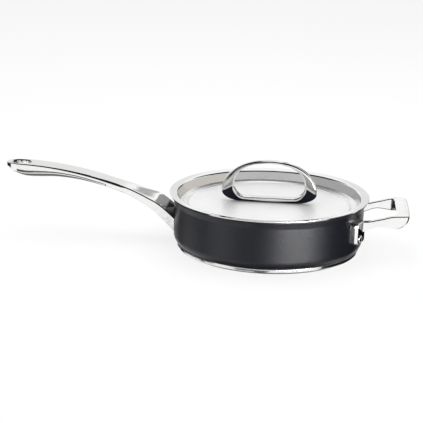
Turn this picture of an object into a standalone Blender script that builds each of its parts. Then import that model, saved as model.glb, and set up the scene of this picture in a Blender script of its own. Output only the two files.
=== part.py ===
"""Covered saute pan: hard-anodised body on a steel-capped base, two cast handles and a steel lid.

Metres, +Z up. The pan stands on z = 0 with its round body centred on the Z axis. The long handle
runs towards -X and the helper handle towards +X. The lid's pieces hang on an empty at the top of
the body's lip, so they follow the body's height.
"""
import math

import bpy
import bmesh
from mathutils import Matrix, Vector

# General
SEGMENTS = 64                  # facets round the body, the base and the lid
FIT_GAP = 0.0003               # gap left between pieces that touch
SMALL_SEGMENTS = 20            # facets round a rivet, a screw or a washer
ARC_STEP = math.radians(22)    # largest turn between two points of a rounded corner
SMALL_ARC_STEP = math.radians(36)
SMALL_ARC = 0.0030             # corners up to this radius take the larger step
SIDE_LIMIT = 0.49              # largest share of a side that one rounded corner takes
DOME_ROUNDING = 0.8            # rounding of a rivet's or screw's head, as a share of its height

# Base: an aluminium disc in a dished steel cap
CAP_INSET = 0.0035             # how far the cap stays inside the body's wall
CAP_HEIGHT = 0.0062
CAP_SHEET = 0.0009
CAP_CORNER = 0.0040
RING_GROOVES = (0.042, 0.070, 0.098)
GROOVE_WIDTH = 0.0020
GROOVE_DEPTH = 0.0003

# Pan body
BODY_RADIUS = 0.1240
BODY_WALL = 0.0030
BODY_FLOOR = 0.0030
BODY_HEIGHT = 0.0686           # ground to the top of the lip
BODY_CORNER = 0.0140
CORNER_SINK = 0.0040           # how far the corner's arc would run on below the flat bottom
LIP_REACH = 0.0040
LIP_THICK = 0.0021
LIP_INNER_FILLET = 0.0035
LIP_UNDER_FILLET = 0.0025
LIP_EDGE_FILLET = 0.0007
CORNER_STEPS_BELOW = 5

# Lid, heights from the plane it seats on
LID_OVERHANG = 0.0020          # past the body's lip
LID_SHEET = 0.0009
LID_EDGE_DROP = 0.0014
RING_WIDTH = 0.0103
RING_DISH = 0.0017
SEAT_INSET = 0.0054            # from the lid's edge to where its ring rests on the lip
LEDGE_DEPTH = 0.0117
LID_WALL_DRAFT = 0.0040
LEDGE_WIDTH = 0.0083
STEP_WIDTH = 0.0030
STEP_DROP = 0.0015
DISC_DOME = 0.0025
DISC_RINGS = 4
STEP_FOOT_FILLET = 0.0020
STEP_HEAD_FILLET = 0.0012
LEDGE_FILLET = 0.0022
RING_FILLET = 0.0018
RING_EDGE_FILLET = 0.0009

# Lid knob
KNOB_HALF_WIDTH = 0.0620
KNOB_HEIGHT = 0.0553
KNOB_DEPTH = 0.0110
KNOB_POINT_HEIGHT = 0.0125
KNOB_FOOT_HALF_WIDTH = 0.0380
KNOB_SIDE_BAND = 0.0140
KNOB_TOP_BAND = 0.0029
KNOB_BAR = 0.0063
KNOB_EYE_SPRING = 0.0215       # where the eye's sides turn into its arch
KNOB_EYE_CORNER = 0.0120
KNOB_OUTER_POWER = 2.15
KNOB_EYE_POWER = 2.3
KNOB_KEEL = 0.0026             # half depth of the sharp lower corner
KNOB_EYE_BEVEL = 0.0014
KNOB_EDGE = 0.0016             # bevel of the loop's outer edges
KNOB_EDGE_SHARE = 0.5          # most of the loop's width that this bevel takes
KEEL_BAND_SHARE = 0.8          # share of the width that the sharp corner's slope takes
ARCH_STEPS = 24
CORNER_STEPS = 6
CORNER_LAG = 0.6               # a corner's first step is shorter than the rest by this share
KEEL_START = 1.5               # corner steps that stay as sharp as the keel
BAR_STEPS = 4

# Knob screws and washers
SCREW_SPACING = 0.0440
SCREW_RADIUS = 0.0020
SCREW_ENGAGEMENT = 0.0045      # length of shank inside the knob's bar
SCREW_HEAD_RADIUS = 0.0042
SCREW_HEAD_HEIGHT = 0.0022
WASHER_RADIUS = 0.0055
WASHER_THICK = 0.0010

# Long handle, lengths from the body's wall
HANDLE_LENGTH = 0.2245
HANDLE_ROOT_TOP = 0.0393       # height of the top face where it meets the wall
HANDLE_RISE = 0.0497
ROOT_DIP = 0.0077              # extra fall of the top face close to the wall
ROOT_DIP_LENGTH = 0.0240
ROOT_DIP_POWER = 1.5
HANDLE_APEX = 0.95             # share of the length at which the top face is level
HANDLE_ROOT_WIDTH = 0.0520
HANDLE_GRIP_WIDTH = 0.0296
FLARE_START = 0.0070
FLARE_END = 0.0680
TIP_ROUNDING = 0.0310
TIP_POWER = 2.6
HANDLE_EDGE = 0.0009
HANDLE_CROWN = 0.0004
SIDE_TUCK = 0.0010
BELLY_STEPS = 5
GRIP_STATIONS = 24
TIP_STATIONS = 10
TIP_TRIM = 0.995               # share of the tip's rounding that is skinned
HANG_SLOT_CENTRE = 0.0195      # from the tip
HANG_SLOT_LENGTH = 0.0250
HANG_SLOT_WIDTH = 0.0190
HANG_SLOT_CORNER = 0.0090
HOLLOW_WALL = 0.0034
HOLLOW_ROOF = 0.0032
HOLLOW_END_WALL = 0.0042
HOLLOW_LENGTH = 0.0600
HOLLOW_FADE_START = 0.35       # shares of the hollow's length between which it runs out
HOLLOW_FADE_END = 1.1
HOLLOW_STATIONS = 12

# Rivets
RIVET_RADIUS = 0.0030
RIVET_HEAD_RADIUS = 0.0058
RIVET_HEAD_HEIGHT = 0.0018
RIVET_TAIL_RADIUS = 0.0050
RIVET_TAIL_HEIGHT = 0.0017
LONG_RIVET_SPACING = 0.0270
LONG_RIVET_DROP = 0.0100       # below the top of the handle's root
HELPER_RIVET_DROP = 0.0073     # below the middle of the helper's foot

# Helper handle
HELPER_REACH = 0.1812          # from the pan's axis
HELPER_TOP = 0.0608
HELPER_HALF_WIDTH = 0.0460
HELPER_ARM = 0.0075
HELPER_BAR = 0.0164
HELPER_BAR_HEIGHT = 0.0173
HELPER_BOW = 0.0012
HELPER_CORNER = 0.0050
HELPER_EYE_CORNER = 0.0055
HELPER_BOW_ROUNDING = 0.1800
HELPER_DROOP = 0.0152          # how far the bar's outer face curls in towards its underside
DROOP_STEPS = 6
ARM_STEPS = 14
# Fall of the arm's top and rise of its underside, at shares of the eye's length from the wall
ARM_TOP_FALLS = ((-0.33, 0.0098), (0.0, 0.0098), (0.5, 0.0057), (0.9, 0.0014), (1.4, 0.0))
ARM_UNDER_RISES = ((-0.33, -0.0128), (0.0, -0.0051), (0.5, 0.0019), (1.0, 0.0), (1.4, 0.0))
FOOT_ANGLE = math.radians(24.2)
FOOT_OUTBOARD = 0.0108         # from the rivet to the foot's free edge
FOOT_INBOARD = 0.0150          # from the rivet to the edge under the arm
FOOT_THICK = 0.0064
FOOT_TOP = 0.0519
FOOT_HEIGHT = 0.0276
FOOT_CORNER = 0.0040
FOOT_SLOPE = 0.0044            # slope from the foot's free edge to its face

# Places worked out from the sizes above
BODY_BOTTOM = CAP_HEIGHT + FIT_GAP
INNER_RADIUS = BODY_RADIUS - BODY_WALL
SEAT_CYLINDER = BODY_RADIUS + FIT_GAP
CAP_RADIUS = BODY_RADIUS - CAP_INSET
LID_RADIUS = BODY_RADIUS + LIP_REACH + LID_OVERHANG
LID_SEAT_HEIGHT = BODY_HEIGHT + FIT_GAP
DISC_RADIUS = LID_RADIUS - RING_WIDTH - LID_WALL_DRAFT - LEDGE_WIDTH - STEP_WIDTH
DISC_EDGE_Z = -LEDGE_DEPTH - STEP_DROP
DISC_TOP_Z = DISC_EDGE_Z + DISC_DOME
FAR = 0.25                     # reach of a cutter that runs past everything


def clear_scene():
    for thing in list(bpy.data.objects):
        bpy.data.objects.remove(thing, do_unlink=True)


def metal(name, colour, roughness, metallic):
    material = bpy.data.materials.new(name)
    material.use_nodes = True
    shader = material.node_tree.nodes["Principled BSDF"]
    shader.inputs["Base Color"].default_value = (*colour, 1.0)
    shader.inputs["Roughness"].default_value = roughness
    shader.inputs["Metallic"].default_value = metallic
    return material


def frame_empty(name, location):
    empty = bpy.data.objects.new(name, None)
    empty.location = location
    bpy.context.scene.collection.objects.link(empty)
    return empty


def place(name, bm, material=None, parent=None):
    """Turn a bmesh into a smooth-shaded object; without a material it is a cutter or a guide."""
    bmesh.ops.remove_doubles(bm, verts=bm.verts, dist=1e-7)
    bmesh.ops.recalc_face_normals(bm, faces=bm.faces)
    mesh = bpy.data.meshes.new(name)
    bm.to_mesh(mesh)
    bm.free()
    mesh.shade_smooth()
    mesh.set_sharp_from_angle(angle=math.radians(32))
    thing = bpy.data.objects.new(name, mesh)
    bpy.context.scene.collection.objects.link(thing)
    if material is None:
        thing.hide_render = True
        thing.display_type = "WIRE"
    else:
        mesh.materials.append(material)
    thing.parent = parent
    return thing


def combine(target, tool, operation):
    modifier = target.modifiers.new(operation.title() + " " + tool.name, "BOOLEAN")
    modifier.operation = operation
    modifier.solver = "EXACT"
    modifier.object = tool


def smoothstep(value, start, end):
    share = min(max((value - start) / (end - start), 0.0), 1.0)
    return share * share * (3.0 - 2.0 * share)


def spline(knots, x):
    """Read a smooth curve through (x, y) knots, level at no knot but free of overshoot."""
    xs = [knot[0] for knot in knots]
    ys = [knot[1] for knot in knots]
    if x <= xs[0]:
        return ys[0]
    if x >= xs[-1]:
        return ys[-1]
    slopes = [(ys[i + 1] - ys[i]) / (xs[i + 1] - xs[i]) for i in range(len(xs) - 1)]
    tangents = [slopes[0]]
    for before, after in zip(slopes, slopes[1:]):
        tangents.append(0.0 if before * after <= 0 else 2 * before * after / (before + after))
    tangents.append(slopes[-1])
    i = max(k for k in range(len(xs) - 1) if xs[k] <= x)
    width = xs[i + 1] - xs[i]
    t = (x - xs[i]) / width
    return (ys[i] * (1 + 2 * t) * (1 - t) ** 2 + ys[i + 1] * t * t * (3 - 2 * t)
            + width * t * (1 - t) * (tangents[i] * (1 - t) - tangents[i + 1] * t))


def rounded(corners, closed=False):
    """Round the corners (x, y, radius) of an outline; a radius is limited by its two sides."""
    points = []
    count = len(corners)
    for i, (x, y, radius) in enumerate(corners):
        here = Vector((x, y))
        if radius <= 0.0 or (not closed and i in (0, count - 1)):
            points.append(here)
            continue
        back = Vector(corners[i - 1][:2]) - here
        ahead = Vector(corners[(i + 1) % count][:2]) - here
        half = back.angle(ahead) / 2.0
        radius = min(radius, SIDE_LIMIT * min(back.length, ahead.length) * math.tan(half))
        start = here + back.normalized() * radius / math.tan(half)
        end = here + ahead.normalized() * radius / math.tan(half)
        centre = here + (back.normalized() + ahead.normalized()).normalized() * radius / math.sin(half)
        turn = (start - centre).angle_signed(end - centre)
        largest = SMALL_ARC_STEP if radius <= SMALL_ARC else ARC_STEP
        steps = max(2, math.ceil(abs(turn) / largest))
        for k in range(steps + 1):
            points.append(centre + Matrix.Rotation(-turn * k / steps, 2) @ (start - centre))
    return [(point.x, point.y) for point in points]


def offset_line(line, distance):
    """Shift an open line to its right by a distance; a point on the axis stays on it."""
    shifted = []
    for i, (x, y) in enumerate(line):
        here = Vector((x, y))
        sides = []
        if i > 0:
            sides.append((here - Vector(line[i - 1])).normalized())
        if i < len(line) - 1:
            sides.append((Vector(line[i + 1]) - here).normalized())
        normals = [Vector((side.y, -side.x)) for side in sides]
        mean = sum(normals, Vector((0.0, 0.0))).normalized()
        moved = here + mean * distance / mean.dot(normals[0])
        shifted.append((0.0 if x == 0.0 else moved.x, moved.y))
    return shifted


def revolve(name, line, material=None, parent=None, closed=False, segments=SEGMENTS):
    """Turn a line of (radius, height) points about the Z axis."""
    bm = bmesh.new()
    verts = [bm.verts.new((radius, 0.0, height)) for radius, height in line]
    edges = [bm.edges.new(pair) for pair in zip(verts, verts[1:])]
    if closed:
        edges.append(bm.edges.new((verts[-1], verts[0])))
    bmesh.ops.spin(bm, geom=verts + edges, cent=(0, 0, 0), axis=(0, 0, 1), dvec=(0, 0, 0),
                   angle=math.tau, steps=segments, use_merge=True)
    return place(name, bm, material, parent)


def prism(name, outline, across, low, high, material=None, parent=None):
    """Extrude a flat outline; across maps its (a, b) to a point, then low and high set the depth."""
    bm = bmesh.new()
    base = bm.faces.new([bm.verts.new(across(a, b, low)) for a, b in outline])
    grown = bmesh.ops.extrude_face_region(bm, geom=[base])["geom"]
    shift = across(0.0, 0.0, high) - across(0.0, 0.0, low)
    bmesh.ops.translate(bm, verts=[v for v in grown if isinstance(v, bmesh.types.BMVert)], vec=shift)
    return place(name, bm, material, parent)


def loft(name, sections, material=None, parent=None, ring=False):
    """Skin sections of equal point counts; a ring's last section joins its first."""
    bm = bmesh.new()
    rows = [[bm.verts.new(point) for point in section] for section in sections]
    pairs = list(zip(rows, rows[1:]))
    if ring:
        pairs.append((rows[-1], rows[0]))
    else:
        bm.faces.new(rows[0])
        bm.faces.new(rows[-1])
    for near, far in pairs:
        for k in range(len(near)):
            n = (k + 1) % len(near)
            bm.faces.new((near[k], near[n], far[n], far[k]))
    return place(name, bm, material, parent)


def flat_plan(a, b, height):
    return Vector((a, b, height))


def side_view(a, b, across):
    return Vector((a, across, b))


def cylinder_cutter(name, radius, low, high, segments=SEGMENTS):
    return revolve(name, [(0.0, low), (radius, low), (radius, high), (0.0, high)], segments=segments)


def make_base(cap_metal, core_metal, frame):
    """Dished cap with shallow rings pressed in its underside, and the disc that it holds."""
    under = [(0.0, 0.0)]
    for groove in RING_GROOVES:
        half = GROOVE_WIDTH / 2
        under += [(groove - half, 0.0), (groove, GROOVE_DEPTH), (groove + half, 0.0)]
    inner_radius = CAP_RADIUS - CAP_SHEET
    side = rounded([(RING_GROOVES[-1] + GROOVE_WIDTH, 0.0, 0.0), (CAP_RADIUS, 0.0, CAP_CORNER),
                    (CAP_RADIUS, CAP_HEIGHT, 0.0)])
    inside = rounded([(inner_radius, CAP_HEIGHT, 0.0), (inner_radius, CAP_SHEET, CAP_CORNER - CAP_SHEET),
                      (0.0, CAP_SHEET, 0.0)])
    revolve("base_cap", under + side + inside, cap_metal, frame)

    bottom = CAP_SHEET + FIT_GAP
    core_radius = inner_radius - FIT_GAP
    core = rounded([(0.0, CAP_HEIGHT, 0.0), (core_radius, CAP_HEIGHT, 0.0),
                    (core_radius, bottom, CAP_CORNER - bottom), (0.0, bottom, 0.0)])
    revolve("base_core", core, core_metal, frame)


def make_body(anodised, frame):
    """Straight wall on a rounded corner, with a flat turned-out lip."""
    floor = BODY_BOTTOM + BODY_FLOOR
    lip_radius = BODY_RADIUS + LIP_REACH
    inner_corner = BODY_CORNER - BODY_WALL
    wall = rounded([(0.0, floor, 0.0), (INNER_RADIUS, floor, inner_corner),
                    (INNER_RADIUS, BODY_HEIGHT, LIP_INNER_FILLET),
                    (lip_radius, BODY_HEIGHT, LIP_EDGE_FILLET),
                    (lip_radius, BODY_HEIGHT - LIP_THICK, LIP_EDGE_FILLET),
                    (BODY_RADIUS, BODY_HEIGHT - LIP_THICK, LIP_UNDER_FILLET),
                    (BODY_RADIUS, BODY_BOTTOM - CORNER_SINK + BODY_CORNER, 0.0)])
    sweep = math.asin((BODY_CORNER - CORNER_SINK) / BODY_CORNER)
    for k in range(1, CORNER_STEPS_BELOW + 1):
        angle = sweep * k / CORNER_STEPS_BELOW
        wall.append((BODY_RADIUS - BODY_CORNER * (1 - math.cos(angle)),
                     BODY_BOTTOM - CORNER_SINK + BODY_CORNER * (1 - math.sin(angle))))
    wall.append((0.0, BODY_BOTTOM))
    return revolve("pan_body", wall, anodised, frame)


def make_lid(steel, frame):
    """One pressed sheet: domed disc, step, ledge, wall, dished ring and turned-down edge."""
    top = []
    for k in range(DISC_RINGS):
        radius = DISC_RADIUS * k / DISC_RINGS
        top.append((radius, DISC_TOP_Z - DISC_DOME * (radius / DISC_RADIUS) ** 2))
    slope = RING_DISH / RING_WIDTH
    ring_inner = LID_RADIUS - RING_WIDTH
    seat_rise = LID_SHEET * math.hypot(1.0, slope) - slope * (RING_WIDTH - SEAT_INSET)
    ledge_radius = DISC_RADIUS + STEP_WIDTH
    top += rounded([(*top.pop(), 0.0),
                    (DISC_RADIUS, DISC_EDGE_Z, STEP_FOOT_FILLET),
                    (ledge_radius, -LEDGE_DEPTH, STEP_HEAD_FILLET),
                    (ledge_radius + LEDGE_WIDTH, -LEDGE_DEPTH, LEDGE_FILLET),
                    (ring_inner, seat_rise, RING_FILLET),
                    (LID_RADIUS, seat_rise + RING_DISH, RING_EDGE_FILLET),
                    (LID_RADIUS, seat_rise + RING_DISH - LID_EDGE_DROP, 0.0)])
    below = offset_line(top, LID_SHEET)
    below[0] = (0.0, DISC_TOP_Z - LID_SHEET)
    return revolve("lid", top + below[::-1], steel, frame)


def superellipse(half_width, height, power, angle):
    c, s = math.cos(angle), math.sin(angle)
    return (math.copysign(half_width * abs(c) ** (2 / power), c), height * abs(s) ** (2 / power))


def loop_points(half_width, spring, top, foot, corner, power):
    """Points round a closed loop: arch from +X to -X, lower corner, bottom bar, lower corner."""
    points = []
    for k in range(ARCH_STEPS + 1):
        x, z = superellipse(half_width, top - spring, power, math.pi * k / ARCH_STEPS)
        points.append((x, spring + z))
    lower = []
    for k in range(1, CORNER_STEPS + 1):
        angle = math.pi / 2 * (k - CORNER_LAG) / (CORNER_STEPS - CORNER_LAG)
        lower.append((half_width - corner * (1 - math.cos(angle)),
                      spring - (spring - foot) * math.sin(angle)))
    points += [(-x, z) for x, z in lower]
    reach = half_width - corner
    for k in range(1, BAR_STEPS):
        points.append((-reach + 2 * reach * k / BAR_STEPS, foot))
    points += lower[::-1]
    return points


def make_knob(steel, frame):
    """Stirrup-shaped loop: a thin arch that widens to keeled lower corners over a flat bar."""
    outer = loop_points(KNOB_HALF_WIDTH, KNOB_POINT_HEIGHT, KNOB_HEIGHT, 0.0,
                        KNOB_HALF_WIDTH - KNOB_FOOT_HALF_WIDTH, KNOB_OUTER_POWER)
    eye = loop_points(KNOB_HALF_WIDTH - KNOB_SIDE_BAND, KNOB_EYE_SPRING, KNOB_HEIGHT - KNOB_TOP_BAND,
                      KNOB_BAR, KNOB_EYE_CORNER, KNOB_EYE_POWER)
    half = KNOB_DEPTH / 2
    base = DISC_TOP_Z + FIT_GAP
    first_corner = ARCH_STEPS + 1
    first_bar = first_corner + CORNER_STEPS
    last_bar = first_bar + BAR_STEPS - 1
    sections = []
    for i, ((ox, oz), (ix, iz)) in enumerate(zip(outer, eye)):
        keel = half
        if first_corner <= i < first_bar - 1 or last_bar < i:
            step = i - first_corner if i < first_bar else len(outer) - 1 - i
            keel = KNOB_KEEL + (half - KNOB_KEEL) * smoothstep(step, KEEL_START, CORNER_STEPS - 1)
        width = math.hypot(ox - ix, oz - iz)
        share = min(KNOB_EYE_BEVEL / width, 1.0 - KNOB_EDGE_SHARE)
        mx, mz = ix + (ox - ix) * share, iz + (oz - iz) * share
        edge_share = min(KNOB_EDGE / width, KNOB_EDGE_SHARE * 0.9)
        if keel < half:
            edge_share = (1.0 - share) * KEEL_BAND_SHARE
        ex, ez = ox + (ix - ox) * edge_share, oz + (iz - oz) * edge_share
        side = min(keel, half - KNOB_EDGE)
        ring = [(ox, -side, oz), (ex, -half, ez), (mx, -half, mz), (ix, KNOB_EYE_BEVEL - half, iz)]
        ring += [(x, -y, z) for x, y, z in ring[::-1]]
        sections.append([(x, y, base + z) for x, y, z in ring])
    return loft("lid_knob", sections, steel, frame, ring=True)


def make_knob_fixings(steel, knob, lid, frame):
    """Two screws with washers come up through the disc into the knob's bar."""
    under = DISC_TOP_Z - LID_SHEET - FIT_GAP - DISC_DOME * (SCREW_SPACING / 2 / DISC_RADIUS) ** 2
    washer_top = under
    washer_bottom = under - WASHER_THICK
    head_top = washer_bottom - FIT_GAP
    bar_bottom = DISC_TOP_Z + FIT_GAP
    shank_top = bar_bottom + SCREW_ENGAGEMENT
    rounding = SCREW_HEAD_HEIGHT * DOME_ROUNDING
    for number, x in enumerate((-SCREW_SPACING / 2, SCREW_SPACING / 2), start=1):
        bore = cylinder_cutter(f"screw_bore_{number}", SCREW_RADIUS + FIT_GAP, -FAR,
                               shank_top + FIT_GAP, SMALL_SEGMENTS)
        bore.location.x = x
        bore.parent = frame
        combine(knob, bore, "DIFFERENCE")
        combine(lid, bore, "DIFFERENCE")
        hole = SCREW_RADIUS + FIT_GAP
        washer = [(hole, washer_bottom), (WASHER_RADIUS, washer_bottom),
                  (WASHER_RADIUS, washer_top), (hole, washer_top), (hole, washer_bottom)]
        ring = revolve(f"knob_washer_{number}", washer, steel, frame, segments=SMALL_SEGMENTS)
        ring.location.x = x
        screw = rounded([(0.0, head_top - SCREW_HEAD_HEIGHT, 0.0),
                         (SCREW_HEAD_RADIUS, head_top - SCREW_HEAD_HEIGHT, rounding),
                         (SCREW_HEAD_RADIUS, head_top, 0.0), (SCREW_RADIUS, head_top, 0.0),
                         (SCREW_RADIUS, shank_top, 0.0), (0.0, shank_top, 0.0)])
        fixing = revolve(f"knob_screw_{number}", screw, steel, frame, segments=SMALL_SEGMENTS)
        fixing.location.x = x


# Long handle: side height and belly depth along its length, as (share of length, size)
SIDE_HEIGHTS = ((0.0, 0.0186), (0.06, 0.0165), (0.12, 0.0133), (0.17, 0.0112), (0.22, 0.0102),
                (0.34, 0.0080), (0.46, 0.0066), (0.57, 0.0055), (0.68, 0.0062), (0.80, 0.0090),
                (0.88, 0.0108), (0.95, 0.0092), (1.0, 0.0035))
BELLY_DEPTHS = ((0.0, 0.0), (0.22, 0.0), (0.34, 0.0012), (0.46, 0.0044), (0.57, 0.0067),
                (0.68, 0.0079), (0.80, 0.0087), (0.88, 0.0076), (0.95, 0.0040), (1.0, 0.0008))


def handle_top(distance):
    share = distance / HANDLE_LENGTH
    dip = max(0.0, 1.0 - distance / ROOT_DIP_LENGTH) ** ROOT_DIP_POWER
    return (HANDLE_ROOT_TOP + ROOT_DIP * (1.0 - dip)
            + HANDLE_RISE * (1.0 - (1.0 - share / HANDLE_APEX) ** 2))


def handle_half_width(distance):
    flare = 1.0 - smoothstep(distance, FLARE_START, FLARE_END)
    width = HANDLE_GRIP_WIDTH + (HANDLE_ROOT_WIDTH - HANDLE_GRIP_WIDTH) * flare
    into_tip = max(0.0, (distance - HANDLE_LENGTH + TIP_ROUNDING) / TIP_ROUNDING)
    return width / 2 * (1.0 - into_tip ** TIP_POWER) ** (1 / TIP_POWER)


def handle_section(distance):
    """Flat top with bevelled edges, upright sides and a rounded belly, seen along the handle."""
    share = distance / HANDLE_LENGTH
    top = handle_top(distance)
    half = handle_half_width(distance)
    edge = min(HANDLE_EDGE, half * 0.3)
    side = spline(SIDE_HEIGHTS, share)
    belly = spline(BELLY_DEPTHS, share)
    tucked = half - min(SIDE_TUCK, half * 0.3)
    right = [(half - edge, top), (half, top - edge), (tucked, top - side)]
    for k in range(1, BELLY_STEPS):
        angle = math.pi / 2 * k / BELLY_STEPS
        right.append((tucked * math.cos(angle), top - side - belly * math.sin(angle)))
    left = [(-y, z) for y, z in right[::-1]]
    ring = [(0.0, top + HANDLE_CROWN)] + right + [(0.0, top - side - belly)] + left
    return [(-BODY_RADIUS - distance, y, z) for y, z in ring]


def hollow_section(distance):
    """Cutter for the hollow under the handle's root, shallower towards its far end."""
    share = distance / HANDLE_LENGTH
    half = handle_half_width(distance) - HOLLOW_WALL
    depth = spline(SIDE_HEIGHTS, share) + spline(BELLY_DEPTHS, share)
    fade = smoothstep(distance / HOLLOW_LENGTH, HOLLOW_FADE_START, HOLLOW_FADE_END)
    roof = handle_top(distance) - HOLLOW_ROOF - fade * (depth - HOLLOW_ROOF)
    corner = HOLLOW_WALL / 2
    ring = [(half, roof - corner), (half - corner, roof), (corner - half, roof), (-half, roof - corner),
            (-half, roof - FAR), (half, roof - FAR)]
    return [(-BODY_RADIUS - distance, y, z) for y, z in ring]


def make_long_handle(steel, frame):
    start = -HANDLE_ROOT_WIDTH ** 2 / BODY_RADIUS / 4
    tip_start = HANDLE_LENGTH - TIP_ROUNDING
    distances = [start + (tip_start - start) * k / GRIP_STATIONS for k in range(GRIP_STATIONS)]
    for k in range(TIP_STATIONS + 1):
        turn = math.pi / 2 * k / TIP_STATIONS
        distances.append(tip_start + TIP_ROUNDING * TIP_TRIM * math.sin(turn))
    handle = loft("long_handle", [handle_section(d) for d in distances], steel, frame)

    seat = cylinder_cutter("long_handle_seat", SEAT_CYLINDER, -FAR, FAR)
    combine(handle, seat, "DIFFERENCE")

    depths = [HOLLOW_LENGTH * k / HOLLOW_STATIONS for k in range(HOLLOW_STATIONS + 1)]
    hollow = loft("handle_hollow", [hollow_section(depth) for depth in depths])
    end_wall = cylinder_cutter("hollow_end", SEAT_CYLINDER + HOLLOW_END_WALL, -FAR, FAR)
    combine(hollow, end_wall, "DIFFERENCE")
    combine(handle, hollow, "DIFFERENCE")

    half_length, half_width = HANG_SLOT_LENGTH / 2, HANG_SLOT_WIDTH / 2
    centre = -BODY_RADIUS - HANDLE_LENGTH + HANG_SLOT_CENTRE
    slot = rounded([(centre - half_length, -half_width, HANG_SLOT_CORNER),
                    (centre + half_length, -half_width, HANG_SLOT_CORNER),
                    (centre + half_length, half_width, HANG_SLOT_CORNER),
                    (centre - half_length, half_width, HANG_SLOT_CORNER)], closed=True)
    combine(handle, prism("hang_slot", slot, flat_plan, 0.0, FAR), "DIFFERENCE")
    return handle


def make_helper_handle(steel, frame):
    """U-shaped bar with a drooping outer lip, on two feet that seat on the body's wall."""
    eye_end = HELPER_REACH - HELPER_BAR
    span = eye_end - BODY_RADIUS
    under = HELPER_TOP - HELPER_BAR_HEIGHT
    start = BODY_RADIUS + ARM_TOP_FALLS[0][0] * span
    reaches = [start + (HELPER_REACH - start) * k / ARM_STEPS for k in range(ARM_STEPS + 1)]
    side = [(x, HELPER_TOP - spline(ARM_TOP_FALLS, (x - BODY_RADIUS) / span)) for x in reaches]
    for k in range(1, DROOP_STEPS):
        angle = math.pi / 2 * k / DROOP_STEPS
        side.append((HELPER_REACH - HELPER_DROOP * (1 - math.cos(angle)),
                     HELPER_TOP - HELPER_BAR_HEIGHT * math.sin(angle)))
    side += [(x, under + spline(ARM_UNDER_RISES, (x - BODY_RADIUS) / span))
             for x in reversed(reaches) if x < HELPER_REACH - HELPER_DROOP]
    handle = prism("helper_handle", side, side_view, -FAR, FAR, steel, frame)

    corner_x = HELPER_REACH - HELPER_BOW
    inside = BODY_RADIUS / 2
    plan = rounded([(inside, -HELPER_HALF_WIDTH, 0.0), (corner_x, -HELPER_HALF_WIDTH, HELPER_CORNER),
                    (HELPER_REACH, 0.0, HELPER_BOW_ROUNDING),
                    (corner_x, HELPER_HALF_WIDTH, HELPER_CORNER), (inside, HELPER_HALF_WIDTH, 0.0)])
    combine(handle, prism("helper_plan", plan, flat_plan, -FAR, FAR), "INTERSECT")

    eye_half = HELPER_HALF_WIDTH - HELPER_ARM
    eye = rounded([(0.0, -eye_half, 0.0), (eye_end, -eye_half, HELPER_EYE_CORNER),
                   (eye_end, eye_half, HELPER_EYE_CORNER), (0.0, eye_half, 0.0)])
    combine(handle, prism("helper_eye", eye, flat_plan, -FAR, FAR), "DIFFERENCE")

    foot_middle = FOOT_TOP - FOOT_HEIGHT / 2
    half_height = FOOT_HEIGHT / 2
    outlines = [rounded([(-edge, -half_height, FOOT_CORNER), (FOOT_INBOARD, -half_height, FOOT_CORNER),
                         (FOOT_INBOARD, half_height, FOOT_CORNER), (-edge, half_height, FOOT_CORNER)],
                        closed=True)
                for edge in (FOOT_OUTBOARD, FOOT_OUTBOARD, FOOT_OUTBOARD - FOOT_SLOPE)]
    face = BODY_RADIUS + FOOT_THICK
    depths = (BODY_RADIUS - FOOT_THICK, face - FOOT_SLOPE, face)
    for number, side_of in enumerate((-1, 1), start=1):
        angle = side_of * FOOT_ANGLE
        outward = Vector((math.cos(angle), math.sin(angle), 0.0))
        along = Vector((-math.sin(angle), math.cos(angle), 0.0)) * -side_of

        sections = [[outward * depth + along * a + Vector((0.0, 0.0, foot_middle + b)) for a, b in outline]
                    for depth, outline in zip(depths, outlines)]
        foot = loft(f"helper_foot_{number}", sections)
        combine(handle, foot, "UNION")
    combine(handle, cylinder_cutter("helper_seat", SEAT_CYLINDER, -FAR, FAR), "DIFFERENCE")
    return handle


def make_rivet(name, angle, height, grip, steel, frame, pierced):
    """Rivet on a radius of the body, from a head inside the wall to a tail outside the grip."""
    dip = RIVET_HEAD_RADIUS ** 2 / (2 * INNER_RADIUS)
    head_z = INNER_RADIUS - FIT_GAP - dip
    tail_z = BODY_RADIUS + grip + FIT_GAP
    line = rounded([(0.0, head_z - RIVET_HEAD_HEIGHT, 0.0),
                    (RIVET_HEAD_RADIUS, head_z - RIVET_HEAD_HEIGHT, RIVET_HEAD_HEIGHT * DOME_ROUNDING),
                    (RIVET_HEAD_RADIUS, head_z, 0.0), (RIVET_RADIUS, head_z, 0.0),
                    (RIVET_RADIUS, tail_z, 0.0), (RIVET_TAIL_RADIUS, tail_z, 0.0),
                    (RIVET_TAIL_RADIUS, tail_z + RIVET_TAIL_HEIGHT, RIVET_TAIL_HEIGHT * DOME_ROUNDING),
                    (0.0, tail_z + RIVET_TAIL_HEIGHT, 0.0)])
    turn = Matrix.Rotation(angle, 4, "Z") @ Matrix.Rotation(math.pi / 2, 4, "Y")
    rivet = revolve(name, line, steel, frame, segments=SMALL_SEGMENTS)
    rivet.rotation_euler = turn.to_euler()
    rivet.location.z = height
    bore = cylinder_cutter(name + "_bore", RIVET_RADIUS + FIT_GAP, INNER_RADIUS - 2 * BODY_WALL,
                           BODY_RADIUS + grip + 2 * BODY_WALL, SMALL_SEGMENTS)
    bore.rotation_euler = turn.to_euler()
    bore.location.z = height
    for piece in pierced:
        combine(piece, bore, "DIFFERENCE")


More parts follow.
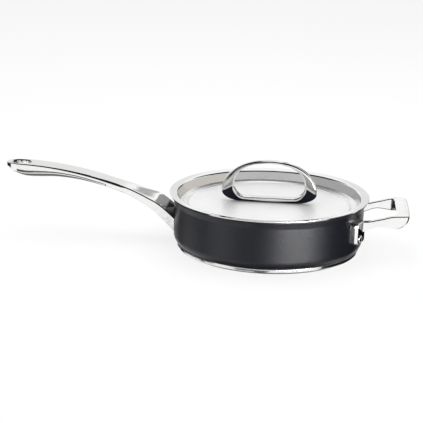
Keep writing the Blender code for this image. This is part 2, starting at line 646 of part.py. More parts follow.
def build():
    clear_scene()
    anodised = metal("hard anodised aluminium", (0.035, 0.037, 0.042), 0.42, 0.6)
    bare_aluminium = metal("bare aluminium", (0.70, 0.71, 0.72), 0.35, 1.0)
    brushed = metal("brushed steel", (0.66, 0.66, 0.65), 0.28, 1.0)
    polished = metal("polished steel", (0.80, 0.80, 0.79), 0.10, 1.0)

    pan_frame = frame_empty("pan_frame", (0.0, 0.0, 0.0))
    lid_frame = frame_empty("lid_frame", (0.0, 0.0, LID_SEAT_HEIGHT))

    make_base(brushed, bare_aluminium, pan_frame)
    body = make_body(anodised, pan_frame)
    long_handle = make_long_handle(polished, pan_frame)
    helper = make_helper_handle(polished, pan_frame)

    long_angle = math.asin(LONG_RIVET_SPACING / 2 / BODY_RADIUS)
    long_height = HANDLE_ROOT_TOP - LONG_RIVET_DROP
    long_grip = FIT_GAP + HOLLOW_END_WALL
    for number, angle in enumerate((math.pi - long_angle, math.pi + long_angle), start=1):
        make_rivet(f"long_handle_rivet_{number}", angle, long_height, long_grip, polished, pan_frame,
                   (body, long_handle))
    helper_height = FOOT_TOP - FOOT_HEIGHT / 2 - HELPER_RIVET_DROP
    for number, angle in enumerate((-FOOT_ANGLE, FOOT_ANGLE), start=1):
        make_rivet(f"helper_handle_rivet_{number}", angle, helper_height, FOOT_THICK, polished, pan_frame,
                   (body, helper))

    lid = make_lid(polished, lid_frame)
    knob = make_knob(polished, lid_frame)
    make_knob_fixings(polished, knob, lid, lid_frame)


build()
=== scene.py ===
"""Looks of a covered saute pan: anodised body, steel base cap, cast handles, pressed lid and loop knob.

Metres, +Z up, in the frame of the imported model. The long handle runs towards -X. Every piece that
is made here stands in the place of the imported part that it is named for.
"""
import math

import bmesh
import bpy
from mathutils import Matrix, Vector


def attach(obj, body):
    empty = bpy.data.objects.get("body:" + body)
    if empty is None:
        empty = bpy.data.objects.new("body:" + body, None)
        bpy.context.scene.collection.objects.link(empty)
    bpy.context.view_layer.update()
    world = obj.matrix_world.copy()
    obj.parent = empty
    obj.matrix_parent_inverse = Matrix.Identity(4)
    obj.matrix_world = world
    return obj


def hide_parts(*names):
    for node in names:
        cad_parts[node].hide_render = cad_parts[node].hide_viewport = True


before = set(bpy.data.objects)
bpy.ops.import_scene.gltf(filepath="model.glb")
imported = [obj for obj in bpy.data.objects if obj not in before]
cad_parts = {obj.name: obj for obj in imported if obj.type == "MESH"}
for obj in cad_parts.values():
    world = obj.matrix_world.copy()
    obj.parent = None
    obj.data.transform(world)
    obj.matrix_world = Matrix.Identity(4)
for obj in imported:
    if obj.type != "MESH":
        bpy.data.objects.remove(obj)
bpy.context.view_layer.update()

# General
GAP = 0.0003
FACETS = 192
SMALL_FACETS = 48
# Rounded corners: the widest step, the fewest steps, and the most that a corner takes of a side
ARC_STEP = math.radians(10)
LEAST_STEPS = 3
CORNER_SHARE = 0.49
# Angles above which an edge stays sharp
SHARP = math.radians(30)
CAP_SHARP = math.radians(40)
HANDLE_SHARP = math.radians(28)
# Size of the plane or circle that a piece starts from
SEED_SIZE = 0.01
MERGE_DISTANCE = 0.000001
# Block that cuts the handles to the round of the body
BLOCK_FOOT = -0.1
BLOCK_TOP = 0.2

# Body and base
CAP_RADIUS = 0.1205
CAP_HEIGHT = 0.0062
CAP_SHEET = 0.0009
CAP_CORNER = 0.0040
CAP_EDGE = CAP_SHEET * 0.35
RING_GROOVES = (0.042, 0.070, 0.098)
GROOVE_WIDTH = 0.0020
GROOVE_DEPTH = 0.0003
# Across a groove, as shares of half its width and of its depth
GROOVE_LINE = ((-1.0, 0.0), (-0.5, 0.8), (0.0, 1.0), (0.5, 0.8), (1.0, 0.0))
BODY_RADIUS = 0.1240
BODY_WALL = 0.0030
BODY_BOTTOM = CAP_HEIGHT + GAP
BODY_HEIGHT = 0.0686
BODY_CORNER = 0.0140
BODY_CORNER_STEPS = 14
CORNER_SINK = 0.0040
LIP_REACH = 0.0040
LIP_THICK = 0.0021
LIP_EDGE_ROUND = 0.0005
LIP_INSIDE_ROUND = 0.0035
WALL_FLARE = 0.0013
FLARE_HEIGHT = 0.0075
FLARE_TOP_ROUND = 0.0018
FLARE_FOOT_ROUND = 0.0100
INNER_RADIUS = BODY_RADIUS - BODY_WALL
SEAT_RADIUS = BODY_RADIUS + GAP

# Lid, depths from the plane it seats on
LID_SEAT = BODY_HEIGHT + GAP
LID_RADIUS = 0.1300
LID_SHEET = 0.0009
LID_EDGE_DROP = 0.0014
RING_WIDTH = 0.0103
RING_DISH = 0.0017
RING_SEAT_RADIUS = 0.1246
LEDGE_DEPTH = 0.0117
LID_WALL_DRAFT = 0.0040
LEDGE_WIDTH = 0.0083
STEP_WIDTH = 0.0030
STEP_DROP = 0.0015
DISC_DOME = 0.0025
DISC_RINGS = 14
RING_EDGE_ROUND = 0.0004
RING_WALL_ROUND = 0.0028
WALL_LEDGE_ROUND = 0.0004
STEP_TOP_ROUND = 0.0012
STEP_FOOT_ROUND = 0.0020
DISC_RADIUS = LID_RADIUS - RING_WIDTH - LID_WALL_DRAFT - LEDGE_WIDTH - STEP_WIDTH
DISC_TOP = LID_SEAT - LEDGE_DEPTH - STEP_DROP + DISC_DOME

# Knob, heights from its foot
KNOB_FOOT = DISC_TOP + GAP
KNOB_HALF_WIDTH = 0.0620
KNOB_HEIGHT = 0.0553
KNOB_DEPTH = 0.0110
KNOB_ELBOW = 0.0125
KNOB_CORNER = 0.0240
KNOB_SIDE_BAND = 0.0160
KNOB_TOP_BAND = 0.0038
KNOB_BAR = 0.0063
ARCH_STEPS = 96
CORNER_STEPS = 22
BAR_STEPS = 16
# Part of a step by which a corner's first point is drawn back to the elbow, for a crisp crease
ELBOW_LEAD = 0.7
EYE_SPRING = 0.0215
EYE_CORNER = 0.0150
OUTER_POWER = 2.15
EYE_POWER = 2.3
KEEL = 0.0026
KEEL_BAND = 0.0026
# At the bar: the keel as a share of half the depth, the band as a share of the bar's height, and
# the share of a corner's steps past which both begin to change
BAR_KEEL = 0.60
BAR_BAND = 0.68
BAR_START = 0.4
# Round the keel's edge, as shares of the section's width and of the keel
KEEL_EDGE = ((0.0, 0.55), (0.012, 0.8), (0.035, 1.0))
# Along the ridge between facet and band, as offsets across and in depth
RIDGE_CREASE = ((-0.0002, -0.00012), (0.0, -0.00002), (0.0001, 0.0))
RIDGE_LEAST = 0.3
# A section's points on the facet: those of its edge, its middle and the first of the crease
FACET_POINTS = len(KEEL_EDGE) + 2
# Widths of the rounded edges, and the largest share of the section's width that they take
OUTER_CHAMFER = 0.0036
OUTER_SHARE = 0.72
EYE_CHAMFER = 0.0024
EYE_SHARE = 0.26
# What the eye's edge gains over the arch, and the steps over which it comes in
EYE_SWELL = 0.0012
EYE_SWELL_STEPS = 16
EDGE_STEPS = 6

# Long handle, lengths from the body's wall
HANDLE_LENGTH = 0.2245
HANDLE_ROOT_TOP = 0.0393
HANDLE_RISE = 0.0497
ROOT_DIP = 0.0077
ROOT_DIP_LENGTH = 0.0240
ROOT_DIP_POWER = 1.5
HANDLE_APEX = 0.95
HANDLE_ROOT_WIDTH = 0.0520
HANDLE_GRIP_WIDTH = 0.0296
FLARE_START = 0.0070
FLARE_END = 0.0680
TIP_ROUNDING = 0.0310
TIP_REACH = 0.995
TIP_FLAT = 0.9995
TIP_POWER = 2.6
GRIP_STEPS = 80
TIP_STEPS = 26
BELLY_STEPS = 12
EDGE_LIMIT = 0.3
LOWER_EDGE = 0.0013
LOWER_EDGE_FADE = (0.22, 0.40)
# At a chamfer's edges: a narrow strip that keeps the shading flat beside it, the drop at the edge, and
# the shares of the chamfer between which it is straight
CREASE = 0.0002
CREASE_DROP = 0.00002
CHAMFER_START = 0.03
CHAMFER_END = 0.93
# Widths of the top chamfer, heights of the sides and depths of the belly, as (share of length, size)
HANDLE_EDGES = ((0.0, 0.0014), (0.20, 0.0013), (0.275, 0.0013), (0.315, 0.0025), (0.36, 0.0027),
                (0.45, 0.0023), (0.60, 0.0018), (0.75, 0.0013), (0.92, 0.0009), (1.0, 0.0006))
SIDE_HEIGHTS = ((0.0, 0.0186), (0.06, 0.0165), (0.12, 0.0133), (0.17, 0.0112), (0.22, 0.0102),
                (0.34, 0.0080), (0.46, 0.0066), (0.57, 0.0055), (0.68, 0.0062), (0.80, 0.0090),
                (0.88, 0.0108), (0.95, 0.0092), (1.0, 0.0035))
BELLY_DEPTHS = ((0.0, 0.0), (0.22, 0.0), (0.34, 0.0012), (0.46, 0.0044), (0.57, 0.0067),
                (0.68, 0.0079), (0.80, 0.0087), (0.88, 0.0076), (0.95, 0.0040), (1.0, 0.0008))
# The hollow under the root, and its fade from full depth to none as shares of its length
HOLLOW_LENGTH = 0.060
HOLLOW_STEPS = 24
HOLLOW_SIDE_WALL = 0.0034
HOLLOW_ROOF = 0.0032
HOLLOW_END_WALL = 0.0042
HOLLOW_CORNER = 0.0017
HOLLOW_FADE = (0.35, 1.1)
HOLLOW_DROP = 0.08
SLOT_FROM_TIP = 0.0195
SLOT_CENTRE = -BODY_RADIUS - HANDLE_LENGTH + SLOT_FROM_TIP
SLOT_LENGTH = 0.0250
SLOT_WIDTH = 0.0190
SLOT_CORNER = 0.0090
SLOT_EDGE = 0.0013
# The slot's cutter: its foot, and how far its edge and its wide end stand above the handle
SLOT_CUT_FOOT = 0.05
SLOT_EDGE_RISE = 0.0001
SLOT_CUT_RISE = 0.002

# Helper handle
HELPER_REACH = 0.1811
HELPER_TOP = 0.0608
HELPER_HALF_WIDTH = 0.0460
HELPER_ARM = 0.0075
HELPER_BAR = 0.0164
HELPER_BAR_HEIGHT = 0.0173
HELPER_BOW = 0.0012
HELPER_CORNER = 0.0050
HELPER_EYE_CORNER = 0.0055
HELPER_CHAMFER = 0.0010
HELPER_UNDER_CHAMFER = 0.0013
HELPER_DRAFT = 0.0005
HELPER_ARM_STEPS = 34
HELPER_CORNER_STEPS = 10
HELPER_BAR_STEPS = 14
HELPER_FACE_STEPS = 14
HELPER_DROOP = 0.0152
HELPER_FACE_SHARE = 0.985
# Along the arms, as (share of the way from the wall to the gap's far end, fall or rise)
ARM_TOP_FALLS = ((-0.33, 0.0098), (0.0, 0.0098), (0.5, 0.0057), (0.9, 0.0014), (1.4, 0.0))
ARM_UNDER_RISES = ((-0.33, -0.0128), (0.0, -0.0051), (0.5, 0.0019), (1.0, 0.0), (1.4, 0.0))
FOOT_ANGLE = math.radians(24.2)
FOOT_OUTBOARD = 0.0108
FOOT_INBOARD = 0.0150
FOOT_THICK = 0.0064
FOOT_TOP = 0.0519
FOOT_HEIGHT = 0.0276
FOOT_CORNER = 0.0040
FOOT_SLOPE = 0.0030

# Rivets
RIVET_SHANK = 0.0030
RIVET_HEAD = 0.0058
RIVET_HEAD_HEIGHT = 0.0018
RIVET_TAIL = 0.0050
RIVET_TAIL_HEIGHT = 0.0017
RIVET_DOME_STEPS = 12
LONG_RIVET_SPACING = 0.0270
LONG_RIVET_HEIGHT = HANDLE_ROOT_TOP - 0.0100
HELPER_RIVET_HEIGHT = FOOT_TOP - FOOT_HEIGHT / 2 - 0.0073

# The photograph's view: its size and focal length in pixels, the sensor in millimetres, and the
# camera's distance and angles
IMAGE_SIZE = 423
FOCAL_PIXELS = 1131.03
SENSOR = 36.0
VIEW_DISTANCE = 1.5
VIEW_HEIGHT = math.radians(18.225)
VIEW_TURN = math.radians(2.5)
VIEW_YAW = math.radians(2.881)
VIEW_PITCH = math.radians(1.522)
VIEW_ROLL = math.radians(2.330)
CLIP_START = 0.05

# Finishes: the range that noise is read over, and the grain of bare steel
NOISE_LOW = 0.35
NOISE_HIGH = 0.65
GRAIN = 180.0
GRAIN_RELIEF = 0.02
RELIEF_DEPTH = 0.0002

# Lid finish: its turned rings, and the metal and gloss of its disc, ledge and wall
LID_RINGS = 2400.0
LID_RELIEF_DEPTH = 0.0001
DISC_METAL = 0.40
DISC_ROUGH = (0.38, 0.46)
DISC_BLUR = 0.0015
LEDGE_METAL = 0.75
LEDGE_ROUGH = 0.26
LEDGE_BLUR = 0.0006
LEDGE_RADIUS = DISC_RADIUS + STEP_WIDTH + LEDGE_WIDTH - LEDGE_BLUR
WALL_METAL = 1.0
WALL_ROUGH = 0.11

# Painted dark reflection on polished steel: its name as a mark, its shade, and how strongly and how widely
# it is marked
PAINTED_DARK_ATTRIBUTE = "painted_dark_reflection"
PAINTED_DARK_SHADE = (0.02, 0.02, 0.03)
ROOT_PAINTED_REACH = 0.0095
ROOT_STRENGTH = 0.8
FOOT_STRENGTH = 0.95
FACING_UP = 0.3
FACING_OUT = 0.999
FACE_TOLERANCE = 0.0001

# Floor and lamp
FLOOR_SIZE = 8.0
FLOOR_DROP = 0.0004
FLOOR_SHADE = 0.90
FLOOR_ROUGH = 0.9
FLOOR_WHITE_SHARE = 0.80
LAMP_PLACE = (0.1, 0.15, 1.8)
LAMP_SIZE = 2.0
LAMP_POWER = 27.0

# Studio tones
AMBIENT = (0.62, 0.62, 0.62)
WHITE = (1.0, 1.0, 1.0)
BLACK = (0.012, 0.012, 0.016)
GREY = (0.30, 0.30, 0.30)
# Panels that shiny metal sees round the pan, laid over a white room one after the other. Each runs
# between two limits of "turn" (degrees to the right of the -Y direction), "right" or "deep" (the X
# or Y part of the direction) and between two heights; then come the softness of its sides and of its
# lower and upper ends, and its tone.
PANELS = (
    # what lies below
    ("turn", -200, 200, -2.0, -0.78, 5.0, 0.05, (0.16, 0.16, 0.16)),
    ("turn", -200, 200, -0.78, -0.50, 5.0, 0.05, (0.85, 0.85, 0.85)),
    # low cards and one bright strip, as the base band and the body show them
    ("turn", -139, -124, -0.50, 0.06, 4.0, 0.05, (0.05, 0.05, 0.06)),
    ("turn", -152, -66, -0.325, -0.12, 6.0, 0.015, BLACK),
    ("turn", -88, -82, -0.50, -0.325, 2.0, 0.015, (0.05, 0.05, 0.06)),
    ("turn", -37, 6, -0.42, -0.305, 4.0, 0.02, (0.07, 0.07, 0.08)),
    ("turn", -13, 3, -1.0, -0.40, 3.0, 0.03, (0.10, 0.10, 0.11)),
    ("turn", -42, -3.2, -0.215, 0.30, 0.6, 0.03, BLACK),
    ("turn", 17, 57, -0.20, -0.04, 8.0, 0.04, (26.0, 26.0, 25.6)),
    ("turn", 73, 150, -0.62, -0.13, 4.0, 0.04, BLACK),
    # the front and the sides above the horizon
    ("turn", -104, 60, 0.24, 0.52, 6.0, 0.03, (0.54, 0.54, 0.54)),
    ("turn", 60, 168, -0.10, 0.44, 8.0, 0.04, (0.60, 0.57, 0.53)),
    ("turn", -142, -50, -0.10, 0.46, 6.0, 0.04, (0.40, 0.40, 0.40)),
    # behind, with narrow cards
    ("turn", -200, -160, 0.12, 0.44, 8.0, 0.05, (0.82, 0.82, 0.82)),
    ("turn", 178.8, 200, 0.12, 0.44, 1.0, 0.05, (0.82, 0.82, 0.82)),
    ("turn", 145, 165.4, 0.05, 0.34, 0.6, 0.04, BLACK),
    ("turn", 165.4, 171.3, -0.30, 0.34, 0.6, 0.04, GREY),
    ("turn", 174.8, 177.1, 0.10, 0.36, 0.3, 0.04, (0.42, 0.42, 0.42)),
    # the dark ceiling over the front and the sides
    ("deep", -2.0, 0.12, 0.50, 2.0, 0.10, 0.06, BLACK),
    ("right", 0.16, 2.0, 0.60, 2.0, 0.08, 0.06, BLACK),
    ("right", -2.0, -0.16, 0.60, 2.0, 0.08, 0.06, BLACK),
)


# Shaping helpers

def smoothstep(value, start, end):
    """A soft rise from nothing at the start to one at the end."""
    share = min(max((value - start) / (end - start), 0.0), 1.0)
    return share * share * (3.0 - 2.0 * share)


def spline(knots, x):
    """Smooth curve through (x, y) knots, without overshoot."""
    xs = [knot[0] for knot in knots]
    ys = [knot[1] for knot in knots]
    if x <= xs[0]:
        return ys[0]
    if x >= xs[-1]:
        return ys[-1]
    slopes = [(ys[i + 1] - ys[i]) / (xs[i + 1] - xs[i]) for i in range(len(xs) - 1)]
    tangents = [slopes[0]]
    for before, after in zip(slopes, slopes[1:]):
        tangents.append(0.0 if before * after <= 0 else 2 * before * after / (before + after))
    tangents.append(slopes[-1])
    i = max(k for k in range(len(xs) - 1) if xs[k] <= x)
    width = xs[i + 1] - xs[i]
    t = (x - xs[i]) / width
    return (ys[i] * (1 + 2 * t) * (1 - t) ** 2 + ys[i + 1] * t * t * (3 - 2 * t)
            + width * t * (1 - t) * (tangents[i] * (1 - t) - tangents[i + 1] * t))


def rounded(corners, closed=False):
    """Points along an outline whose corners (x, y, radius) are rounded."""
    points = []
    count = len(corners)
    for i, (x, y, radius) in enumerate(corners):
        here = Vector((x, y))
        if radius <= 0.0 or (not closed and i in (0, count - 1)):
            points.append(here)
            continue
        back = Vector(corners[i - 1][:2]) - here
        ahead = Vector(corners[(i + 1) % count][:2]) - here
        half = back.angle(ahead) / 2.0
        radius = min(radius, CORNER_SHARE * min(back.length, ahead.length) * math.tan(half))
        start = here + back.normalized() * radius / math.tan(half)
        end = here + ahead.normalized() * radius / math.tan(half)
        centre = here + (back.normalized() + ahead.normalized()).normalized() * radius / math.sin(half)
        turn = (start - centre).angle_signed(end - centre)
        steps = max(LEAST_STEPS, math.ceil(abs(turn) / ARC_STEP))
        for k in range(steps + 1):
            points.append(centre + Matrix.Rotation(-turn * k / steps, 2) @ (start - centre))
    return [(point.x, point.y) for point in points]


def offset_line(line, distance):
    """An open line shifted to its right; a point on the axis stays on it."""
    shifted = []
    for i, (x, y) in enumerate(line):
        here = Vector((x, y))
        sides = []
        if i > 0:
            sides.append((here - Vector(line[i - 1])).normalized())
        if i < len(line) - 1:
            sides.append((Vector(line[i + 1]) - here).normalized())
        normals = [Vector((side.y, -side.x)) for side in sides]
        mean = sum(normals, Vector((0.0, 0.0))).normalized()
        moved = here + mean * distance / mean.dot(normals[0])
        shifted.append((0.0 if x == 0.0 else moved.x, moved.y))
    return shifted


def pick(piece):
    """Leave only this piece selected and active."""
    bpy.ops.object.select_all(action="DESELECT")
    piece.select_set(True)
    bpy.context.view_layer.objects.active = piece


def name_piece(name):
    """Name the piece that was added last, and its mesh."""
    piece = bpy.context.object
    piece.name = name
    piece.data.name = name
    return piece


def close_up(sharp=SHARP):
    """Merge doubles, turn the faces out, leave edit mode and shade smooth up to an angle."""
    bpy.ops.mesh.select_all(action="SELECT")
    bpy.ops.mesh.remove_doubles(threshold=MERGE_DISTANCE)
    bpy.ops.mesh.normals_make_consistent(inside=False)
    bpy.ops.object.mode_set(mode="OBJECT")
    bpy.ops.object.shade_smooth_by_angle(angle=sharp)


def turned(name, line, facets=FACETS, sharp=SHARP):
    """A profile of (radius, height) points, drawn from one point by extruding, then spun."""
    bpy.ops.object.select_all(action="DESELECT")
    bpy.ops.mesh.primitive_plane_add(size=SEED_SIZE, location=(0.0, 0.0, 0.0))
    piece = name_piece(name)
    bpy.ops.object.mode_set(mode="EDIT")
    bpy.ops.mesh.merge(type="CENTER")
    bpy.ops.transform.translate(value=(line[0][0], 0.0, line[0][1]))
    for (r0, z0), (r1, z1) in zip(line, line[1:]):
        bpy.ops.mesh.extrude_vertices_move(TRANSFORM_OT_translate={"value": (r1 - r0, 0.0, z1 - z0)})
    bpy.ops.mesh.select_all(action="SELECT")
    bpy.ops.mesh.spin(steps=facets, angle=math.tau, center=(0.0, 0.0, 0.0), axis=(0.0, 0.0, 1.0))
    close_up(sharp)
    return piece


def set_loop(points, loop):
    """Bring the points of the selected loop, given by their numbers, to their places."""
    bm = bmesh.from_edit_mesh(bpy.context.object.data)
    bm.verts.ensure_lookup_table()
    for index, point in zip(loop, points):
        bm.verts[index].co = point
    bmesh.update_edit_mesh(bpy.context.object.data)


def next_loop(loop):
    """The numbers of the freshly extruded loop, in the order of the loop it grew from."""
    bm = bmesh.from_edit_mesh(bpy.context.object.data)
    bm.verts.ensure_lookup_table()
    grown = []
    for index in loop:
        ends = [edge.other_vert(bm.verts[index]) for edge in bm.verts[index].link_edges]
        grown.append(next(vert.index for vert in ends if vert.select))
    return grown


def skinned(name, sections, ring=False):
    """A loop extruded from section to section; a ring's last loop is bridged to its first."""
    bpy.ops.object.select_all(action="DESELECT")
    bpy.ops.mesh.primitive_circle_add(vertices=len(sections[0]), radius=SEED_SIZE, fill_type="NOTHING")
    piece = name_piece(name)
    bpy.ops.object.mode_set(mode="EDIT")
    loop = list(range(len(sections[0])))
    set_loop(sections[0], loop)
    if not ring:
        bpy.ops.mesh.edge_face_add()
        bpy.ops.mesh.select_all(action="SELECT")
    for section in sections[1:]:
        bpy.ops.mesh.extrude_edges_move(TRANSFORM_OT_translate={"value": (0.0, 0.0, 0.0)})
        loop = next_loop(loop)
        set_loop(section, loop)
    if ring:
        bm = bmesh.from_edit_mesh(piece.data)
        for edge in bm.edges:
            edge.select = len(edge.link_faces) == 1
        bmesh.update_edit_mesh(piece.data)
        bpy.ops.mesh.bridge_edge_loops()
    else:
        bpy.ops.mesh.edge_face_add()
    close_up()
    return piece


def round_block(name, radius):
    """A block round the pan's axis, taller than the pan, to cut with."""
    return turned(name, [(0.0, BLOCK_FOOT), (radius, BLOCK_FOOT), (radius, BLOCK_TOP), (0.0, BLOCK_TOP)])


def combine(piece, tool, operation):
    """Apply a boolean with a tool piece, then drop the tool."""
    pick(piece)
    change = piece.modifiers.new(operation, "BOOLEAN")
    change.operation = operation
    change.solver = "EXACT"
    change.object = tool
    bpy.ops.object.modifier_apply(modifier=change.name)
    bpy.data.objects.remove(tool)


def shade_handle(piece):
    """Shade a handle smooth again after its cuts."""
    pick(piece)
    bpy.ops.object.shade_smooth_by_angle(angle=HANDLE_SHARP)


# Materials

def new_material(name):
    """A fresh material with its nodes, links and shader."""
    material = bpy.data.materials.new(name)
    material.use_nodes = True
    nodes = material.node_tree.nodes
    return material, nodes, material.node_tree.links, nodes["Principled BSDF"]


def noise(nodes, links, scale, detail):
    """Noise on the piece's own coordinates."""
    place = nodes.new("ShaderNodeTexCoord")
    texture = nodes.new("ShaderNodeTexNoise")
    texture.inputs["Scale"].default_value = scale
    texture.inputs["Detail"].default_value = detail
    links.new(place.outputs["Object"], texture.inputs["Vector"])
    return texture.outputs["Fac"]


def ramp(nodes, links, source, low, high):
    """Noise mapped to a range; low and high are numbers or colours."""
    mapped = nodes.new("ShaderNodeValToRGB")
    shades = [value if isinstance(value, tuple) else (value,) * 3 for value in (low, high)]
    for stop, position, shade in zip(mapped.color_ramp.elements, (NOISE_LOW, NOISE_HIGH), shades):
        stop.position = position
        stop.color = (*shade, 1.0)
    links.new(source, mapped.inputs["Fac"])
    return mapped.outputs["Color"]


def blend(nodes, links, factor, first, second, way="MIX"):
    """Mix of two colours, each a socket or an (r, g, b), by a socket or a number."""
    mix = nodes.new("ShaderNodeMix")
    mix.data_type = "RGBA"
    mix.blend_type = way
    colours = [socket for socket in mix.inputs if socket.type == "RGBA"]
    for socket, value in zip(colours, (first, second)):
        if isinstance(value, tuple):
            socket.default_value = (*value, 1.0)
        else:
            links.new(value, socket)
    if isinstance(factor, float):
        mix.inputs[0].default_value = factor
    else:
        links.new(factor, mix.inputs[0])
    return next(socket for socket in mix.outputs if socket.type == "RGBA")


def curve(nodes, links, source, start, end, low=0.0, high=1.0):
    """A soft step of a value between two limits."""
    step = nodes.new("ShaderNodeMapRange")
    step.interpolation_type = "SMOOTHSTEP"
    for label, number in (("From Min", start), ("From Max", end), ("To Min", low), ("To Max", high)):
        step.inputs[label].default_value = number
    links.new(source, step.inputs["Value"])
    return step.outputs["Result"]


def calc(nodes, links, operation, *values):
    """One step of arithmetic on sockets and numbers."""
    step = nodes.new("ShaderNodeMath")
    step.operation = operation
    for socket, value in zip(step.inputs, values):
        if isinstance(value, float):
            socket.default_value = value
        else:
            links.new(value, socket)
    return step.outputs["Value"]


def bump(nodes, links, source, shader, strength, distance):
    """Fine relief on a finish, of a depth too small to model."""
    relief = nodes.new("ShaderNodeBump")
    relief.inputs["Strength"].default_value = strength
    relief.inputs["Distance"].default_value = distance
    links.new(source, relief.inputs["Height"])
    links.new(relief.outputs["Normal"], shader.inputs["Normal"])


def bare_metal(name, low, high, smooth, rough):
    """Bare metal: a cloudy shade and a fine grain, and a painted dark reflection where it is marked."""
    material, nodes, links, shader = new_material(name)
    shader.inputs["Metallic"].default_value = 1.0
    cloud = noise(nodes, links, 24.0, 2.0)
    # Painted dark reflection: marked places are mixed towards a near black shade
    painted_dark = nodes.new("ShaderNodeAttribute")
    painted_dark.attribute_name = PAINTED_DARK_ATTRIBUTE
    shade = blend(nodes, links, painted_dark.outputs["Fac"], ramp(nodes, links, cloud, low, high), PAINTED_DARK_SHADE)
    links.new(shade, shader.inputs["Base Color"])
    fine = noise(nodes, links, GRAIN, 5.0)
    links.new(ramp(nodes, links, fine, smooth, rough), shader.inputs["Roughness"])
    bump(nodes, links, fine, shader, GRAIN_RELIEF, RELIEF_DEPTH)
    return material


def anodised():
    """Hard anodised aluminium: near black with a fine sparkle and a satin sheen."""
    material, nodes, links, shader = new_material("anodised charcoal")
    shader.inputs["Specular IOR Level"].default_value = 0.5
    speck = noise(nodes, links, 1500.0, 3.0)
    cloud = noise(nodes, links, 16.0, 3.0)
    base = ramp(nodes, links, speck, (0.004, 0.005, 0.010), (0.012, 0.013, 0.021))
    veil = ramp(nodes, links, cloud, (0.86, 0.86, 0.88), (1.0, 1.0, 1.0))
    links.new(blend(nodes, links, 1.0, base, veil, "MULTIPLY"), shader.inputs["Base Color"])
    links.new(ramp(nodes, links, speck, 0.27, 0.38), shader.inputs["Roughness"])
    bump(nodes, links, speck, shader, 0.24, RELIEF_DEPTH)
    return material


def from_axis(nodes, links):
    """The distance from the piece's upright axis."""
    place = nodes.new("ShaderNodeTexCoord")
    split = nodes.new("ShaderNodeSeparateXYZ")
    links.new(place.outputs["Object"], split.inputs["Vector"])
    flat = nodes.new("ShaderNodeCombineXYZ")
    links.new(split.outputs["X"], flat.inputs["X"])
    links.new(split.outputs["Y"], flat.inputs["Y"])
    reach = nodes.new("ShaderNodeVectorMath")
    reach.operation = "LENGTH"
    links.new(flat.outputs["Vector"], reach.inputs[0])
    return reach.outputs["Value"]


def lid_sheet():
    """Pressed sheet: a satin disc turned in fine rings, with a polished ledge, wall and rim."""
    material, nodes, links, shader = new_material("lid sheet")
    cloud = noise(nodes, links, 18.0, 2.0)
    shade = ramp(nodes, links, cloud, (0.88, 0.88, 0.88), (0.92, 0.92, 0.92))
    links.new(shade, shader.inputs["Base Color"])
    reach = from_axis(nodes, links)
    rings = nodes.new("ShaderNodeTexNoise")
    rings.noise_dimensions = "1D"
    rings.inputs["Scale"].default_value = LID_RINGS
    rings.inputs["Detail"].default_value = 3.0
    links.new(reach, rings.inputs["W"])
    gloss = ramp(nodes, links, rings.outputs["Fac"], *DISC_ROUGH)
    metallic = (DISC_METAL,) * 3
    for radius, blur, rough, metal in ((DISC_RADIUS, DISC_BLUR, LEDGE_ROUGH, LEDGE_METAL),
                                       (LEDGE_RADIUS, LEDGE_BLUR, WALL_ROUGH, WALL_METAL)):
        edge = curve(nodes, links, reach, radius - blur / 2, radius + blur / 2)
        gloss = blend(nodes, links, edge, gloss, (rough,) * 3)
        metallic = blend(nodes, links, edge, metallic, (metal,) * 3)
    links.new(gloss, shader.inputs["Roughness"])
    links.new(metallic, shader.inputs["Metallic"])
    bump(nodes, links, rings.outputs["Fac"], shader, GRAIN_RELIEF, LID_RELIEF_DEPTH)
    return material


def mark_painted_dark_faces(piece, chosen):
    """Mark a piece's faces for painted dark reflection, as strongly as a rule on their centre and facing
    says.
    """
    mark = piece.data.attributes.new(PAINTED_DARK_ATTRIBUTE, "FLOAT", "FACE")
    for face in piece.data.polygons:
        mark.data[face.index].value = chosen(face.center, face.normal)


def mark_painted_dark_points(piece, sections, chosen):
    """Mark a skinned piece's points for painted dark reflection, as a rule on their section and number
    says.
    """
    count = len(sections[0])
    mark = piece.data.attributes.new(PAINTED_DARK_ATTRIBUTE, "FLOAT", "POINT")
    for vert in piece.data.vertices:
        i = vert.index // count
        gaps = [(Vector(point) - vert.co).length for point in sections[i]]
        mark.data[vert.index].value = chosen(i, gaps.index(min(gaps)))


def finish_piece(piece, body, node, material):
    """Give a new piece its finish and body, and hide the imported part whose place it takes."""
    piece.data.materials.clear()
    piece.data.materials.append(material)
    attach(piece, body)
    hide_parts(node)


# Pieces

def make_base_cap():
    """The pressed cap: a sheet with rings in its underside, turned up at its edge."""
    under = [(0.0, 0.0)]
    for groove in RING_GROOVES:
        under += [(groove + GROOVE_WIDTH / 2 * across, GROOVE_DEPTH * deep)
                  for across, deep in GROOVE_LINE]
    inner = CAP_RADIUS - CAP_SHEET
    side = rounded([(RING_GROOVES[-1] + GROOVE_WIDTH, 0.0, 0.0), (CAP_RADIUS, 0.0, CAP_CORNER),
                    (CAP_RADIUS, CAP_HEIGHT, CAP_EDGE), (inner, CAP_HEIGHT, CAP_EDGE),
                    (inner, CAP_SHEET, CAP_CORNER - CAP_SHEET), (0.0, CAP_SHEET, 0.0)])
    return turned("base_cap_polished", under + side, sharp=CAP_SHARP)


